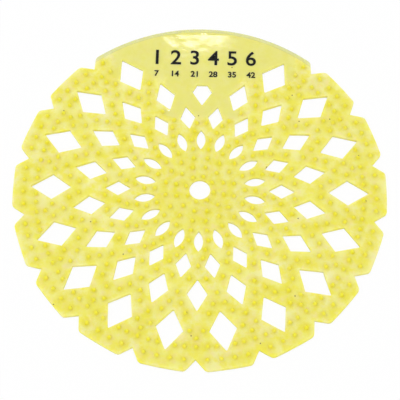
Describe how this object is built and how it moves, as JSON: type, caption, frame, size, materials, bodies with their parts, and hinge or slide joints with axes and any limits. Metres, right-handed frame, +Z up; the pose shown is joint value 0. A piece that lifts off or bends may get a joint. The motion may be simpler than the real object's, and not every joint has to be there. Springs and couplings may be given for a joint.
{
  "type": "urinal deodorizer screen",
  "caption": "Flat round flexible drain screen with rings of diamond holes, a notched rim, a plain tab and small splash studs on top.",
  "frame": {"origin": "centre of the middle hole, on the underside that the screen lies on", "axes": "+Z up out of the sheet through the studs, +Y from the middle hole towards the plain tab, +X to the right of the tab"},
  "size_m": [0.179, 0.179, 0.0035],
  "materials": {
    "scented_eva": "satin, translucent"
  },
  "bodies": {
    "root": {"deodorizer_screen": "scented_eva"}
  },
  "joints": []
}
